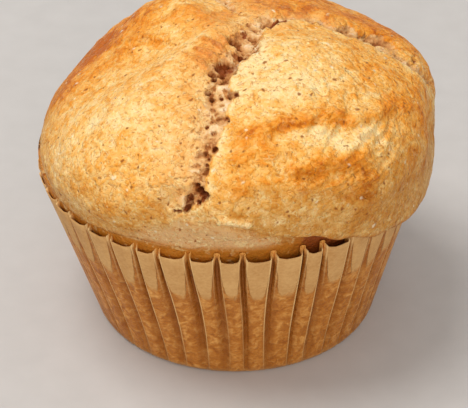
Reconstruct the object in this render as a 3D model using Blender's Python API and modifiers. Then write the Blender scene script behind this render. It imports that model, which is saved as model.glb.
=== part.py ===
"""A muffin with a torn, lobed dome, in the pleated paper case it was baked in.

Lengths are in metres, +Z is up and the front of the muffin faces -Y. An azimuth is
measured from the front towards +X. The origin is under the middle of the case, on
the surface it stands on.
"""
import math
import random

import bmesh
import bpy
import numpy as np
from mathutils import Vector, noise

MM = 0.001
COLLECTION = "muffin_in_paper_case"

# The paper case: a cup with a base of about 50 mm and a 31 mm wall, which leans slightly left.
CASE_BASE_RADIUS = 25.5 * MM
CASE_RIM_RADIUS = 34.1 * MM
CASE_HEIGHT = 30.0 * MM
CASE_LEAN = -1.0 * MM
PAPER = 0.25 * MM
CORNER_RADIUS = 0.8 * MM

# Its pleats: wide panels outside, with a narrow loop folded inwards between them. The mouth
# of a fold and the loop inside it are shares of the distance from pleat to pleat.
PLEATS = 44
PLEAT_TURN = math.radians(4.4)
PLEAT_DEPTH = 1.6 * MM
MOUTH_SHARE = 0.32
LOOP_SHARE = 0.20
PANEL_HOLLOW = 0.18 * MM
LOOP_RISE = 0.8 * MM
LOOP_RISE_START = 0.6
PLEAT_SHIFT = 0.10
PLEAT_VARIATION = 0.16
PLEAT_SEED = 7

# The muffin inside the case, and the gap that keeps it clear of the paper.
GAP = 0.35 * MM
MUFFIN_FLOOR = PAPER + GAP
MUFFIN_BASE_RADIUS = 23.6 * MM
MUFFIN_CORNER = ((0.7 * MM, 0.8 * MM), (1.2 * MM, 2.6 * MM))
MUFFIN_RIM_RADIUS = CASE_RIM_RADIUS - PLEAT_DEPTH - PAPER / 2 - 2 * GAP
MUFFIN_RIM_HEIGHT = CASE_HEIGHT - 1.0 * MM

# The dome: the crown, and all the way round its widest level, the lip that it overhangs
# with and how far that lip is curled, the ledge under it and the pale neck below the ledge.
# Each station is (azimuth in degrees, value); the values run smoothly between them.
CROWN_HEIGHT = 55.8 * MM
CENTRE = np.array([CASE_LEAN, 0.0, 33.0 * MM])
WIDEST_RADIUS = ((-180, 34.8), (-140, 33.4), (-112, 32.8), (-90, 33.2), (-45, 35.0), (-15, 35.0),
                 (10, 35.4), (45, 36.0), (75, 35.9), (110, 36.4), (145, 35.4))
WIDEST_HEIGHT = ((-180, 36.5), (-90, 33.5), (-40, 36.0), (0, 39.5), (45, 38.0), (90, 38.5), (135, 37.5))
FULLNESS = ((-180, 1.1), (-140, 1.4), (-105, 2.10), (-75, 2.25), (-40, 1.15), (0, 1.0), (60, 0.93),
            (95, 0.82), (125, 1.04), (150, 1.2))
LIP_HEIGHT = ((-180, 31.9), (-90, 31.5), (-30, 31.2), (-12, 31.6), (2, 34.6), (12, 35.0), (22, 34.0),
              (32, 31.6), (45, 29.2), (60, 28.1), (90, 28.5), (112, 29.6), (135, 31.6))
LIP_RADIUS = ((-180, 34.0), (-135, 33.0), (-90, 33.0), (-45, 34.0), (-22, 32.8), (-8, 33.2), (4, 34.5),
              (32, 35.0), (45, 35.3), (60, 35.6), (90, 35.6), (115, 35.4), (145, 34.6))
NECK_RADIUS = ((-180, 32.2), (-90, 32.0), (-25, 32.2), (-5, 32.6), (8, 33.2), (20, 33.0), (50, 32.0),
               (120, 32.0))
LIP_CURL = ((-180, 1.0), (-140, 1.0), (-110, 0.0), (-8, 0.0), (3, 1.0))
LEDGE_LOWEST = 31.5 * MM
LEDGE_RADIUS = CASE_RIM_RADIUS + 0.6 * MM

# The lobes that swelled between the tears: (middle of the lobe, reach, height).
LOBES = (((-14.0, 9.0, 54.0), 14.0, 2.3), ((-18.0, -18.0, 48.0), 20.0, 0.7),
         ((15.0, -17.0, 50.0), 24.0, 1.1), ((30.5, 3.5, 43.5), 12.0, 1.2))

# Each tear is a row of (x, y, z, half width, depth) in millimetres, crossing the crust.
FRONT_TEAR = ((5.0, -0.5, 56.0, 2.2, 1.2), (1.0, -6.5, 56.0, 3.4, 3.4), (2.0, -10.5, 55.0, 3.0, 2.6),
              (-0.5, -13.0, 55.0, 3.0, 2.4), (-3.2, -16.2, 54.0, 3.4, 3.6), (-1.5, -19.5, 53.0, 2.8, 2.6),
              (-1.7, -24.0, 51.0, 2.4, 1.9), (-3.3, -28.0, 48.0, 2.4, 1.9), (-5.7, -32.6, 43.2, 2.6, 3.0),
              (-7.6, -33.6, 41.0, 2.6, 2.8), (-11.4, -33.7, 38.0, 2.0, 1.0), (-14.0, -33.2, 35.0, 1.6, 0.3))
RIGHT_TEAR = ((5.0, -0.5, 56.0, 2.2, 1.2), (11.0, 1.7, 55.2, 1.8, 1.6), (19.5, 1.5, 52.8, 2.6, 2.0),
              (25.8, 2.5, 49.6, 2.8, 2.2), (31.0, 3.0, 45.0, 2.2, 1.4), (34.0, -1.0, 42.0, 1.8, 0.8),
              (35.5, -6.0, 38.5, 1.6, 0.6))
BACK_TEAR = ((5.0, -0.5, 56.0, 2.2, 1.2), (-1.0, 5.0, 56.0, 2.6, 1.6), (-5.0, 13.0, 54.5, 2.6, 2.0),
             (-11.0, 22.0, 51.0, 2.4, 1.6), (-17.0, 29.0, 43.0, 2.0, 0.8))
TEARS = (FRONT_TEAR, RIGHT_TEAR, BACK_TEAR)
SWALE_REACH = 7.0 * MM
SWALE_DEPTH = 1.1 * MM
LUMP_SIZE = 11.0 * MM
LUMP_HEIGHT = 0.55 * MM

# How finely the muffin is divided, and the shares of the way up from the middle of its
# underside to its crown at which each stretch of its outline begins.
AROUND = 72
ROWS = 42
FRONT_DENSITY = 0.42
SHARE_FLAT = 3 / ROWS
SHARE_CORNER = 4 / ROWS
SHARE_WALL = 5 / ROWS
SHARE_RIM = 11 / ROWS
SHARE_NECK = 13 / ROWS
SHARE_LIP = 16 / ROWS
SHARE_WIDEST = 19 / ROWS
CROWN_BLEND = 0.6

CRUST = {"color": (0.72, 0.40, 0.13, 1.0), "roughness": 0.55}
PAPER_BROWN = {"color": (0.50, 0.26, 0.10, 1.0), "roughness": 0.6}


def clear_scene():
    for item in list(bpy.data.objects):
        bpy.data.objects.remove(item, do_unlink=True)


def make_material(name, color, roughness):
    material = bpy.data.materials.new(name)
    material.use_nodes = True
    shader = material.node_tree.nodes["Principled BSDF"]
    shader.inputs["Base Color"].default_value = color
    shader.inputs["Roughness"].default_value = roughness
    shader.inputs["Metallic"].default_value = 0.0
    return material


def around(azimuth, stations):
    """A value in metres that eases from one station to the next, all the way round."""
    turns = [math.radians(station[0]) for station in stations]
    values = [station[1] * MM for station in stations]
    turns.append(turns[0] + 2 * math.pi)
    values.append(values[0])
    place = np.interp(azimuth, turns, range(len(turns)))
    step = np.clip(np.floor(place), 0, len(turns) - 2).astype(int)
    part = place - step
    eased = part * part * (3 - 2 * part)
    values = np.array(values)
    return values[step] * (1 - eased) + values[step + 1] * eased


def lean(height):
    """How far the case and what is in it lean to the left at a height."""
    return CASE_LEAN * np.clip(height / CASE_HEIGHT, 0.0, 1.0)


def tear_distance(directions, tear):
    """For each direction from the dome's centre: distance to a tear, half width and depth there."""
    rows = np.array(tear) * MM
    points = rows[:, :3] - CENTRE
    reach = np.linalg.norm(points, axis=1).mean()
    points = points / np.linalg.norm(points, axis=1)[:, None]
    nearest = np.full(len(directions), np.inf)
    half_width = np.zeros(len(directions))
    depth = np.zeros(len(directions))
    for start, end, first, second in zip(points, points[1:], rows, rows[1:]):
        run = end - start
        along = np.clip((directions - start) @ run / (run @ run), 0.0, 1.0)
        distance = np.linalg.norm(directions - start - along[:, None] * run, axis=1) * reach
        closer = distance < nearest
        nearest = np.where(closer, distance, nearest)
        half_width = np.where(closer, first[3] + along * (second[3] - first[3]), half_width)
        depth = np.where(closer, first[4] + along * (second[4] - first[4]), depth)
    return nearest, half_width, depth


def bump(distance, reach):
    """1 in the middle and 0 from the reach outwards, with a soft shoulder."""
    inside = np.clip(1 - (distance / reach) ** 2, 0.0, 1.0)
    return inside * inside


def dome_relief(points):
    """How far the crust stands out from the plain dome: lobes, lumps, swales and tears."""
    directions = points - CENTRE
    directions = directions / np.linalg.norm(directions, axis=1)[:, None]
    relief = np.array([noise.noise(Vector(point) / LUMP_SIZE) for point in points]) * LUMP_HEIGHT
    for middle, reach, height in LOBES:
        distance = np.linalg.norm(points - np.array(middle) * MM, axis=1)
        relief += height * MM * bump(distance, reach * MM)
    swale = np.zeros(len(points))
    groove = np.zeros(len(points))
    for tear in TEARS:
        distance, half_width, depth = tear_distance(directions, tear)
        swale = np.maximum(swale, SWALE_DEPTH * bump(distance, SWALE_REACH))
        groove = np.maximum(groove, depth * bump(distance, half_width))
    return relief - swale - groove


def progress(share, start, end):
    """How far a share has come along one stretch of the outline, from 0 to 1."""
    return np.clip((share - start) / (end - start), 0.0, 1.0)


def wall_outline(share):
    """The part in the case: flat below, a rounded corner, then the sloping wall."""
    (first_out, first_up), (second_out, second_up) = MUFFIN_CORNER
    stops = [0.0, SHARE_FLAT, SHARE_CORNER, SHARE_WALL, SHARE_RIM]
    radii = [0.0, MUFFIN_BASE_RADIUS, MUFFIN_BASE_RADIUS + first_out, MUFFIN_BASE_RADIUS + second_out,
             MUFFIN_RIM_RADIUS]
    heights = [MUFFIN_FLOOR, MUFFIN_FLOOR, MUFFIN_FLOOR + first_up, MUFFIN_FLOOR + second_up,
               MUFFIN_RIM_HEIGHT]
    return np.interp(share, stops, radii), np.interp(share, stops, heights)


def ledge_outline(azimuth, share):
    """The neck above the rim, the ledge that clears the rim, and the drop to the lip."""
    neck = around(azimuth, NECK_RADIUS)
    lip = around(azimuth, LIP_RADIUS)
    lip_height = around(azimuth, LIP_HEIGHT)
    ledge_height = np.maximum(lip_height, LEDGE_LOWEST)
    rise = progress(share, SHARE_RIM, SHARE_NECK)
    third = (SHARE_LIP - SHARE_NECK) / 3
    out = progress(share, SHARE_NECK, SHARE_NECK + third)
    drop = progress(share, SHARE_NECK + third, SHARE_LIP)
    radius = MUFFIN_RIM_RADIUS + rise * (neck - MUFFIN_RIM_RADIUS)
    radius = radius + out * (np.minimum(LEDGE_RADIUS, lip) - neck)
    radius = radius + (lip - radius) * drop ** 2
    height = MUFFIN_RIM_HEIGHT + rise * (ledge_height - MUFFIN_RIM_HEIGHT)
    height = height + drop * (lip_height - ledge_height)
    return radius, height


def crust_outline(azimuth, share):
    """From the lip up to the widest level, then the dome that closes over to the crown.

    A curled lip starts out level and turns upwards; elsewhere the crust rises straight from it.
    """
    lip = around(azimuth, LIP_RADIUS)
    lip_height = around(azimuth, LIP_HEIGHT)
    widest = around(azimuth, WIDEST_RADIUS)
    widest_height = around(azimuth, WIDEST_HEIGHT)
    part = progress(share, SHARE_LIP, SHARE_WIDEST)
    curl = (1 - part) * math.pi / 2
    curled = around(azimuth, LIP_CURL) / MM
    out = curled * np.cos(curl) + (1 - curled) * part * part * (3 - 2 * part)
    up = curled * (1 - np.sin(curl)) + (1 - curled) * part
    radius = lip + (widest - lip) * out
    height = lip_height + (widest_height - lip_height) * up

    turn = progress(share, SHARE_WIDEST, 1.0) * math.pi / 2
    closing = np.maximum(np.cos(turn), 0.0)
    fullness = 1 + (around(azimuth, FULLNESS) / MM - 1) * closing ** CROWN_BLEND
    on_dome = share > SHARE_WIDEST
    radius = np.where(on_dome, widest * closing ** fullness, radius)
    height = np.where(on_dome, widest_height + (CROWN_HEIGHT - widest_height) * np.sin(turn), height)
    return radius, height


def muffin_points(azimuth, share):
    """Points of the muffin: share 0 is the middle of its underside, 1 is its crown."""
    radius, height = wall_outline(share)
    for start, (further_radius, further_height) in ((SHARE_RIM, ledge_outline(azimuth, share)),
                                                    (SHARE_LIP, crust_outline(azimuth, share))):
        beyond = share > start
        radius = np.where(beyond, further_radius, radius)
        height = np.where(beyond, further_height, height)
    points = np.stack([radius * np.sin(azimuth) + lean(height), -radius * np.cos(azimuth), height], axis=1)
    outward = points - CENTRE
    outward = outward / np.linalg.norm(outward, axis=1)[:, None]
    relief = dome_relief(points) * progress(share, SHARE_LIP, SHARE_WIDEST)
    return points + outward * relief[:, None]


def make_muffin(collection):
    """A sphere's vertices moved out to the muffin's surface, closer together at the front."""
    mesh = bpy.data.meshes.new("muffin")
    body = bmesh.new()
    bmesh.ops.create_uvsphere(body, u_segments=AROUND, v_segments=ROWS, radius=1.0)
    places = np.array([vertex.co[:] for vertex in body.verts])
    azimuth = np.arctan2(places[:, 0], -places[:, 1])
    azimuth = azimuth - FRONT_DENSITY * np.sin(azimuth)
    share = np.arccos(np.clip(-places[:, 2], -1.0, 1.0)) / math.pi
    for vertex, point in zip(body.verts, muffin_points(azimuth, share)):
        vertex.co = point
    body.to_mesh(mesh)
    body.free()
    mesh.shade_smooth()
    mesh.materials.append(make_material("crust", **CRUST))
    muffin = bpy.data.objects.new("muffin", mesh)
    collection.objects.link(muffin)
    return muffin


def pleat_plan():
    """The case's plan, fold by fold: (azimuth, share of the pleat's depth inwards, that depth's share)."""
    draw = random.Random(PLEAT_SEED)
    step = 2 * math.pi / PLEATS
    loop = step * LOOP_SHARE / 2
    mouth = step * MOUTH_SHARE / 2
    shifts = [draw.uniform(-PLEAT_SHIFT, PLEAT_SHIFT) * step for _ in range(PLEATS)]
    folds = []
    for index in range(PLEATS):
        following = (index + 1) % PLEATS
        depth = 1 - draw.uniform(0.0, PLEAT_VARIATION)
        left = PLEAT_TURN + index * step + shifts[index]
        right = PLEAT_TURN + (index + 1) * step + shifts[following]
        folds.append((left - loop, 1.0, depth))
        folds.append((left + loop, 1.0, depth))
        folds.append((left + mouth, 0.0, depth))
        folds.append(((left + right) / 2, PANEL_HOLLOW / PLEAT_DEPTH, 1.0))
        folds.append((right - mouth, 0.0, depth))
    return folds


def case_rings():
    """The case's rings from the edge of its flat base up to the rim: (radius, height, pleat share)."""
    slope = (CASE_RIM_RADIUS - CASE_BASE_RADIUS) / CASE_HEIGHT
    rings = [(CASE_BASE_RADIUS - CORNER_RADIUS, 0.0, 0.0)]
    rings.append((CASE_BASE_RADIUS - CORNER_RADIUS * 0.3, CORNER_RADIUS * 0.3, 0.0))
    for height in (CORNER_RADIUS, CASE_HEIGHT * 0.25, CASE_HEIGHT * LOOP_RISE_START, CASE_HEIGHT):
        rings.append((CASE_BASE_RADIUS + height * slope, height, height / CASE_HEIGHT))
    return rings


def make_paper_case(collection):
    """A pleated cup: an open surface from the base to the rim, thickened to paper."""
    mesh = bpy.data.meshes.new("paper_case")
    paper = bmesh.new()
    folds = pleat_plan()
    rings = []
    for radius, height, share in case_rings():
        ring = []
        for azimuth, inward, depth in folds:
            reach = radius - PLEAT_DEPTH * share * inward * depth
            level = height + LOOP_RISE * inward * max(0.0, share - LOOP_RISE_START) / (1 - LOOP_RISE_START)
            across = reach * math.sin(azimuth) + lean(level)
            ring.append(paper.verts.new((across, -reach * math.cos(azimuth), level)))
        rings.append(ring)
    count = len(folds)
    for lower, upper in zip(rings, rings[1:]):
        for index in range(count):
            following = (index + 1) % count
            paper.faces.new((lower[index], lower[following], upper[following], upper[index]))
    middle = paper.verts.new((0.0, 0.0, 0.0))
    for index in range(count):
        paper.faces.new((middle, rings[0][(index + 1) % count], rings[0][index]))
    paper.to_mesh(mesh)
    paper.free()
    mesh.materials.append(make_material("brown_paper", **PAPER_BROWN))
    case = bpy.data.objects.new("paper_case", mesh)
    collection.objects.link(case)
    shell = case.modifiers.new("paper_thickness", "SOLIDIFY")
    shell.thickness = PAPER
    shell.offset = -1.0
    return case


def main():
    clear_scene()
    collection = bpy.data.collections.new(COLLECTION)
    bpy.context.scene.collection.children.link(collection)
    make_paper_case(collection)
    make_muffin(collection)


main()
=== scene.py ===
"""The looks of a muffin with a torn, lobed dome, in the pleated paper case it was baked in.

Lengths are in metres, +Z is up and the front of the muffin faces -Y. An azimuth is
measured from the front towards +X.
"""
import itertools
import math
import random

import bpy
import numpy as np
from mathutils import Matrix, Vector, noise


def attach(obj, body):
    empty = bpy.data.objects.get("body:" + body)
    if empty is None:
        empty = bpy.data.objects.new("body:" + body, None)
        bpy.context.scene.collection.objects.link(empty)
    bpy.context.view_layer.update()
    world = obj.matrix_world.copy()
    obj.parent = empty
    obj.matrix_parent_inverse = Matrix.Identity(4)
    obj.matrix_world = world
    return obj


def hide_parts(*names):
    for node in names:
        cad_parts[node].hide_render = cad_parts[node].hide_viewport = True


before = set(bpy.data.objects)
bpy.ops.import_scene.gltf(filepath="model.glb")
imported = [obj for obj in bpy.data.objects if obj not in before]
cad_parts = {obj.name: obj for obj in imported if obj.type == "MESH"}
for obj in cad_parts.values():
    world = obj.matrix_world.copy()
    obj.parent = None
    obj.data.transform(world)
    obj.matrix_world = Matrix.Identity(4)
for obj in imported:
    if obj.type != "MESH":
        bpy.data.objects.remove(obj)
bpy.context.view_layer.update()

MM = 0.001

# The paper case, as the CAD has it.
CASE_BASE_RADIUS = 25.5 * MM
CASE_RIM_RADIUS = 34.1 * MM
CASE_HEIGHT = 30.0 * MM
CASE_LEAN = -1.0 * MM
PAPER = 0.25 * MM
CORNER_RADIUS = 0.8 * MM
PLEATS = 44
PLEAT_TURN = math.radians(4.4)
PLEAT_DEPTH = 1.6 * MM
PANEL_HOLLOW = 0.18 * MM
LOOP_RISE = 0.8 * MM
LOOP_RISE_START = 0.6
PLEAT_SHIFT = 0.10
PLEAT_VARIATION = 0.16
PLEAT_SEED = 7

# The muffin inside the case, as the CAD has it.
GAP = 0.35 * MM
MUFFIN_FLOOR = PAPER + GAP
MUFFIN_BASE_RADIUS = 23.6 * MM
MUFFIN_CORNER = ((0.7 * MM, 0.8 * MM), (1.2 * MM, 2.6 * MM))
MUFFIN_RIM_RADIUS = CASE_RIM_RADIUS - PLEAT_DEPTH - PAPER / 2 - 2 * GAP
MUFFIN_RIM_HEIGHT = CASE_HEIGHT - 1.0 * MM

# The dome, as the CAD has it: values at azimuths in degrees, eased from one to the next.
CROWN_HEIGHT = 55.8 * MM
CENTRE = np.array([CASE_LEAN, 0.0, 33.0 * MM])
WIDEST_RADIUS = {
    -180: 34.8, -140: 33.4, -112: 32.8, -90: 33.2, -45: 35, -15: 35, 10: 35.4, 45: 36, 75: 35.9, 110: 36.4,
    145: 35.4}
WIDEST_HEIGHT = {-180: 36.5, -90: 33.5, -40: 36, 0: 39.5, 45: 38, 90: 38.5, 135: 37.5}
FULLNESS = {
    -180: 1.1, -140: 1.4, -105: 2.1, -75: 2.25, -40: 1.15, 0: 1, 60: 0.93, 95: 0.82, 125: 1.04, 150: 1.2}
LIP_HEIGHT = {
    -180: 31.9, -90: 31.5, -30: 31.2, -12: 31.6, 2: 34.6, 12: 35, 22: 34, 32: 31.6, 45: 29.2, 60: 28.1,
    90: 28.5, 112: 29.6, 135: 31.6}
LIP_RADIUS = {
    -180: 34, -135: 33, -90: 33, -45: 34, -22: 32.8, -8: 33.2, 4: 34.5, 32: 35, 45: 35.3, 60: 35.6,
    90: 35.6, 115: 35.4, 145: 34.6}
NECK_RADIUS = {-180: 32.2, -90: 32, -25: 32.2, -5: 32.6, 8: 33.2, 20: 33, 50: 32, 120: 32}
LIP_CURL = {-180: 1, -140: 1, -110: 0, -8: 0, 3: 1}
LEDGE_LOWEST = 31.5 * MM
LEDGE_RADIUS = CASE_RIM_RADIUS + 0.6 * MM
LOBES = (
    ((-14, 9, 54), 14, 2.3), ((-18, -18, 48), 20, 0.7), ((15, -17, 50), 24, 1.1),
    ((30.5, 3.5, 43.5), 12, 1.2))
FRONT_TEAR = (
    (5, -0.5, 56, 2.2, 1.2), (1, -6.5, 56, 3.4, 3.4), (2, -10.5, 55, 3, 2.6), (-0.5, -13, 55, 3, 2.4),
    (-3.2, -16.2, 54, 3.4, 3.6), (-1.5, -19.5, 53, 2.8, 2.6), (-1.7, -24, 51, 2.4, 1.9),
    (-3.3, -28, 48, 2.4, 1.9), (-5.7, -32.6, 43.2, 2.6, 3), (-7.6, -33.6, 41, 2.6, 2.8),
    (-11.4, -33.7, 38, 2, 1), (-14, -33.2, 35, 1.6, 0.3))
RIGHT_TEAR = (
    (5, -0.5, 56, 2.2, 1.2), (11, 1.7, 55.2, 1.8, 1.6), (19.5, 1.5, 52.8, 2.6, 2),
    (25.8, 2.5, 49.6, 2.8, 2.2), (31, 3, 45, 2.2, 1.4), (34, -1, 42, 1.8, 0.8), (35.5, -6, 38.5, 1.6, 0.6))
BACK_TEAR = (
    (5, -0.5, 56, 2.2, 1.2), (-1, 5, 56, 2.6, 1.6), (-5, 13, 54.5, 2.6, 2), (-11, 22, 51, 2.4, 1.6),
    (-17, 29, 43, 2, 0.8))
SWALE_REACH = 7.0 * MM
SWALE_DEPTH = 1.1 * MM
LUMP_SIZE = 11.0 * MM
LUMP_HEIGHT = 0.55 * MM

# Where the crust as it looks swells up to the paper: its least radius above the rim, and how
# much smaller it is inside the rim.
HUGGING_RADIUS = {
    -180: 31.7, -130: 31.8, -108: 33.8, -72: 33.8, -52: 33.4, -35: 33.3, -20: 33.1, -8: 32.7, 2: 32.4,
    30: 32.2, 60: 31.8}
HUGGING_SLOPE = 0.3 * MM

# The tears as they look: the clean edge of the crust in (x, y, z), then how far the torn
# surface drops beside it and how wide the crumb is before it meets the crust again, in mm.
FRONT_EDGE = (
    (5.4, 0.2, 55.6, 0.9, 5), (4.3, -4, 55.5, 1.4, 6.5), (4.2, -7.4, 55.3, 1.5, 6.5),
    (2.9, -9.6, 55.1, 1.3, 6), (0.8, -12, 54.8, 1.5, 6), (-0.5, -14.7, 54.3, 1.7, 6),
    (-1.1, -17.2, 53.7, 1, 5.5), (-0.1, -19.5, 53.1, 1.2, 6.5), (-1.1, -22.5, 52.1, 0.8, 6),
    (-1.4, -24, 51.4, 1.1, 6), (-2, -26.1, 50.4, 0.7, 5.5), (-3.1, -29.2, 48.5, 0.9, 5),
    (-4.2, -31.3, 46.6, 0.6, 5), (-4.7, -33.5, 43.9, 0.9, 5), (-4.9, -34.1, 42.8, 1, 5),
    (-6, -34.4, 41.2, 0.7, 4.5), (-8.6, -34.2, 39, 0.4, 3.5), (-12.6, -32.6, 36.2, 0.15, 2.5))
RIGHT_EDGE = (
    (5.4, 0.2, 55.6, 0.9, 4), (6.4, 1.9, 55.5, 1.1, 3), (7.8, 2.7, 55.3, 1.2, 2.5),
    (9.2, 3.7, 55.1, 0.9, 2.5), (11.5, 4.4, 54.7, 0.7, 2.5), (14.1, 4.1, 54.3, 0.8, 3),
    (16.8, 2.4, 53.9, 1, 3.5), (19.4, 1.3, 53.3, 1.3, 4.5), (23.8, 0.7, 51.7, 1.4, 5),
    (25.9, -0.7, 50.7, 1.2, 5), (27.1, -1.5, 50, 1, 5), (30.1, -2.5, 47.7, 0.9, 4.5),
    (33.4, -0.8, 44.2, 0.8, 3.5), (34.8, 1.7, 41, 0.8, 3), (35.3, 0.5, 38.5, 0.5, 2.5))
BACK_EDGE = (
    (5.4, 0.2, 55.6, 0.4, 2), (2, 3, 55.7, 0.3, 1.5), (-1, 7, 55.5, 0.5, 2), (-4, 12.5, 54.5, 1.2, 4),
    (-10, 21.5, 51, 1.3, 4.5), (-16, 29, 43, 0.7, 3), (-17.5, 31, 38, 0.2, 2))
TEAR_BEGINS = (0.1 * MM, 0.6 * MM)

# The clean edge is raised, round and jagged, and the far side of the crumb is frayed.
EDGE_RAISED = 0.22 * MM
EDGE_RAISED_FROM = (-0.1 * MM, 0.25 * MM)
EDGE_ROUND = 1.3 * MM
EDGE_WALL = 0.55 * MM
EDGE_JAG = 0.38 * MM
EDGE_JAG_SIZE = 1.9 * MM
FRAY_JAG = 1.6 * MM
FRAY_SIZE = 3.4 * MM

# The crumb: the shares of its width where its floor has risen and where crust takes over, how
# much of it shows in a shallow tear, its roughness, its holes and its paleness.
FLOOR_ENDS = 1.15
CRUMB_ENDS = (0.30, 0.95)
SHALLOW_SHOWN = 0.62
SHALLOW_TO_DEEP = (0.8 * MM, 1.3 * MM)
CRUMB_ROUGHNESS = 0.38 * MM
CRUMB_SIZE = 2.6 * MM
HOLE_DEPTH = 0.55 * MM
HOLE_SIZE = 1.5 * MM
HOLE_FROM = (0.10, 0.42)
PALENESS = (0.55, 0.35, 0.40)

# How far the stretched, paler crust reaches from the front, the right and the back tear.
STRETCHED_REACH = (9.0 * MM, 2.5 * MM, 4.0 * MM)

# Cavities in the crumb, down the front tear, then the slit at the crown, then in the right tear:
# (x, y, z, radius, depth, darkness) in mm, the darkness being painted shade. As shares of the radius:
# the middle of the painted shade, the rise of the side, and where the painted shade ends, how much
# further out in a darker cavity and how softly.
CAVITIES = (
    (2, -3.3, 55.6, 2.6, 1, 0), (1.9, -5.6, 55.5, 2.6, 1.2, 0), (-0.4, -4.8, 55.6, 1.3, 1.4, 0.6),
    (1.4, -8.1, 55.3, 0.9, 1.7, 0.95), (3.2, -8.3, 55.2, 0.8, 1.5, 0.8), (1.8, -1.2, 55.7, 0.6, 0.9, 0.8),
    (4.2, -3, 55.6, 0.45, 1.6, 0.8), (3.9, -7, 55.3, 0.5, 1.6, 0.8), (-1.3, -13.2, 54.6, 2.1, 1.2, 0),
    (-2.4, -12.3, 54.8, 1.3, 1.4, 0.75), (-0.7, -11.5, 54.9, 1.1, 1.3, 0.65),
    (-4.1, -13.8, 54.2, 1, 1.1, 0.6), (-3.8, -15, 54, 0.5, 1.6, 1), (-0.5, -19.3, 53.1, 0.9, 1.1, 0.4),
    (0.1, -19.1, 53.2, 0.4, 1, 0.75), (-4.7, -18.4, 53, 0.6, 0.8, 0.5), (-4.1, -20, 52.6, 0.5, 0.8, 0.5),
    (-2.4, -19.7, 52.9, 0.35, 0.8, 1), (-2.2, -24.4, 51.2, 1.15, 0.9, 0.25),
    (-1.5, -24, 51.4, 0.4, 1, 0.75), (-4.8, -25.4, 50.4, 0.35, 0.6, 0.8), (-3.7, -26.6, 50, 0.5, 0.6, 0.6),
    (-3.4, -29.2, 48.4, 0.65, 1.2, 0.8), (-6, -29.6, 47.5, 0.5, 0.6, 0.45),
    (-5.2, -29.7, 47.7, 0.45, 0.6, 0.5), (-4.5, -30.5, 47.2, 0.3, 0.7, 1),
    (-4.7, -31.1, 46.6, 0.3, 0.7, 1), (-5.2, -31.9, 45.8, 0.8, 0.4, 0.1),
    (-6.4, -33.2, 43.9, 0.45, 2.6, 1), (-5.9, -33.6, 43.3, 0.65, 3, 1), (-5.2, -34, 42.7, 0.8, 3, 1),
    (-5.1, -34.3, 42, 0.65, 2.6, 1), (-7.8, -33.8, 41.6, 0.7, 1.8, 0.66),
    (-7.9, -34.1, 40.9, 0.75, 1.8, 0.66), (-8.3, -34.2, 39.8, 0.6, 2.2, 1),
    (-9.3, -33.9, 39.4, 0.35, 1, 1), (-10.1, -33.6, 39.3, 0.3, 0.8, 1), (-5.9, -34.3, 41.3, 0.35, 1.2, 1),
    (5.8, 0.8, 55.6, 0.75, 0.8, 1), (6.3, 1.2, 55.5, 0.75, 0.8, 1), (6.8, 1.6, 55.5, 0.7, 0.8, 1),
    (7.3, 1.9, 55.4, 0.7, 0.8, 1), (7.9, 2.3, 55.3, 0.65, 0.7, 1), (8.4, 2.7, 55.2, 0.6, 0.6, 1),
    (8.9, 3.1, 55.1, 0.55, 0.6, 1), (20.6, 4.2, 52.7, 1.9, 1, 0.1), (22.1, 3.4, 52.2, 1.5, 1.1, 0.25),
    (25.4, 4.6, 50.7, 2, 1.1, 0.1), (27.2, 3.6, 49.9, 1.7, 1.2, 0.25), (13.5, 4.2, 54.4, 0.8, 0.8, 0.6),
    (15.4, 4.5, 54, 0.8, 0.8, 0.6), (31, 2, 47, 0.7, 1.4, 1), (29, 0.4, 48.8, 0.8, 0.8, 0.4),
    (30.6, 0, 47.4, 0.8, 0.9, 0.5), (32.2, 0.5, 45.6, 0.8, 0.9, 0.6), (33.3, 1.2, 44, 0.7, 0.9, 0.7),
    (34.3, 2.2, 42, 0.6, 0.8, 0.6))
CAVITY_SHADE = (-0.30, 0.25, 0.15)
CAVITY_SIDE = (0.72, 1.08)
CAVITY_BRINK = (0.78, 0.22, 0.2)
SHADE_BRINK = (0.30, 0.60, 0.6)
CAVITY_RAGGED = 0.42
CAVITY_RAGGED_SIZE = 1.3 * MM
CAVITY_DARKER = 0.14

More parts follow.
